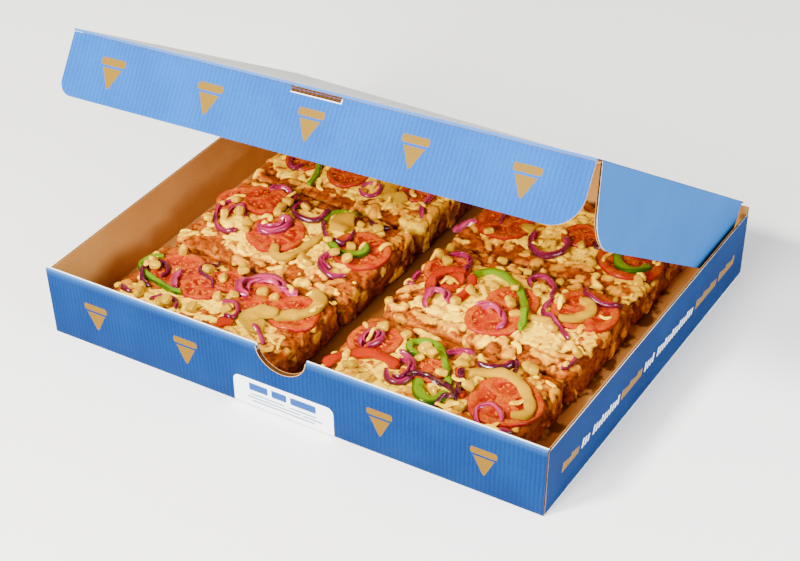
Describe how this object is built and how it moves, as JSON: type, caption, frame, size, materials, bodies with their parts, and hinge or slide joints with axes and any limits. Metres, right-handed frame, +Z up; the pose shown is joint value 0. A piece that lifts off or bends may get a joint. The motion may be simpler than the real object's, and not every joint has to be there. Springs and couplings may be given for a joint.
{
  "type": "pizza in takeaway box",
  "caption": "Oblong deep-pan vegetable pizza cut into slices, lying in a shallow corrugated card box with a thumb notch and a creased, part-open lid with a tuck flap.",
  "frame": {"origin": "on the table, under the middle of the tray", "axes": "+X to the right along the front wall, +Y from the front wall with the thumb notch to the hinged back wall, +Z up"},
  "size_m": [0.4066, 0.3169, 0.2344],
  "materials": {
    "tray_card": "matte",
    "lid_card": "matte",
    "crumb": "matte",
    "tomato": "satin",
    "yellow_pepper": "satin",
    "green_pepper": "satin",
    "red_pepper": "satin",
    "onion": "satin"
  },
  "bodies": {
    "box": {"tray": "tray_card", "slice_front_left": "crumb", "slice_front_right": "crumb", "slice_middle_left": "crumb", "slice_middle_right": "crumb", "slice_back_left": "crumb", "slice_back_right": "crumb", "tomato_01": "tomato", "tomato_02": "tomato", "tomato_03": "tomato", "tomato_04": "tomato", "tomato_05": "tomato", "tomato_06": "tomato", "tomato_07": "tomato", "tomato_08": "tomato", "tomato_09": "tomato", "tomato_10": "tomato", "tomato_11": "tomato", "tomato_12": "tomato", "tomato_13": "tomato", "tomato_14": "tomato", "tomato_15": "tomato", "tomato_16": "tomato", "tomato_17": "tomato", "yellow_pepper_1": "yellow_pepper", "yellow_pepper_2": "yellow_pepper", "yellow_pepper_3": "yellow_pepper", "yellow_pepper_4": "yellow_pepper", "yellow_pepper_5": "yellow_pepper", "yellow_pepper_6": "yellow_pepper", "yellow_pepper_7": "yellow_pepper", "yellow_pepper_8": "yellow_pepper", "green_pepper_1": "green_pepper", "green_pepper_2": "green_pepper", "green_pepper_3": "green_pepper", "green_pepper_4": "green_pepper", "green_pepper_5": "green_pepper", "red_pepper_1": "red_pepper", "red_pepper_2": "red_pepper", "red_pepper_3": "red_pepper", "onion_01": "onion", "onion_02": "onion", "onion_03": "onion", "onion_04": "onion", "onion_05": "onion", "onion_06": "onion", "onion_07": "onion", "onion_08": "onion", "onion_09": "onion", "onion_10": "onion", "onion_11": "onion", "onion_12": "onion", "onion_13": "onion", "onion_14": "onion", "onion_15": "onion", "onion_16": "onion", "onion_17": "onion", "onion_18": "onion"},
    "lid": {"lid": "lid_card"},
    "tuck_flap": {"tuck_flap": "lid_card"}
  },
  "joints": [
    {"name": "lid_hinge", "type": "hinge", "parent": "box", "child": "lid", "pos_m": [0, 0.158, 0.0603], "axis": [-1, 0, 0], "range_deg": [-31.9, 146.9]},
    {"name": "tuck_flap_fold", "type": "hinge", "parent": "lid", "child": "tuck_flap", "pos_m": [0, -0.09784, 0.22726], "axis": [-0.9994, -0.0182, -0.0279], "range_deg": [-2, 86]}
  ]
}
